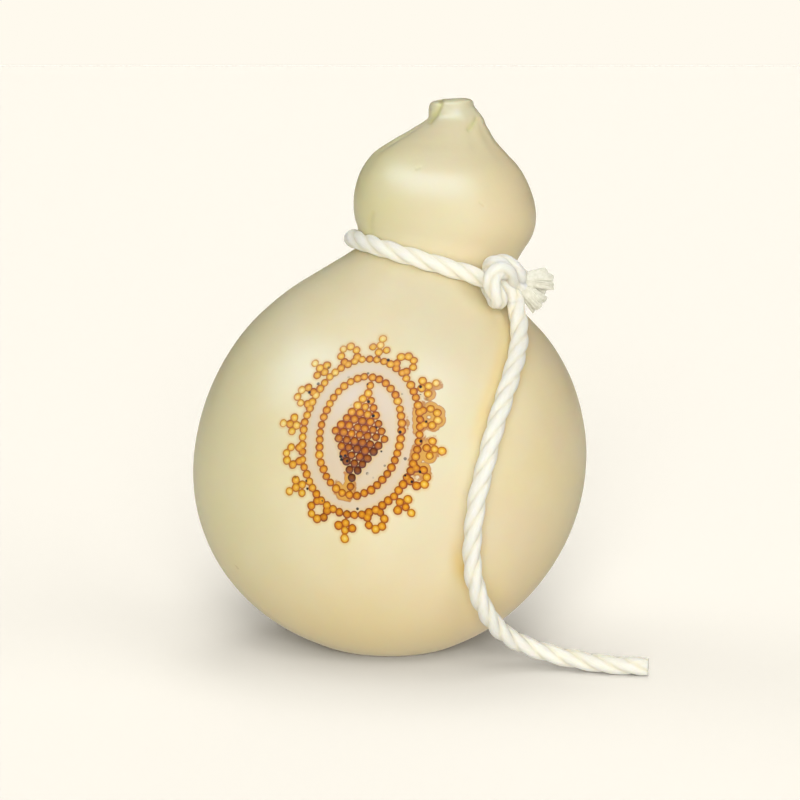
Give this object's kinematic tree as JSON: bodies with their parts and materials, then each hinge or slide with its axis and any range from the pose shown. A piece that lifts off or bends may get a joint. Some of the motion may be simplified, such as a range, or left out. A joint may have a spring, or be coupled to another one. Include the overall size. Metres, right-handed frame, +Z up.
{
  "type": "caciocavallo cheese",
  "caption": "Gourd-shaped stretched-curd cheese with a small onion-shaped head, tied round its neck with a twisted rope whose free tail hangs over the belly.",
  "frame": {"origin": "on the table, in the middle of the flat spot that the belly rests on", "axes": "+Z up through the head, -Y towards the front with the knot and the marked side, +X to the right seen from the front"},
  "size_m": [0.1706, 0.1512, 0.2095],
  "materials": {
    "rind": "smooth waxy natural rind, straw to ivory, slightly translucent, with amber burnt dots on the front",
    "rope": "white three-strand twisted yarn with a soft sheen"
  },
  "bodies": {
    "root": {"cheese": "rind", "neck_rope": "rope", "rope_tail": "rope"}
  },
  "joints": []
}
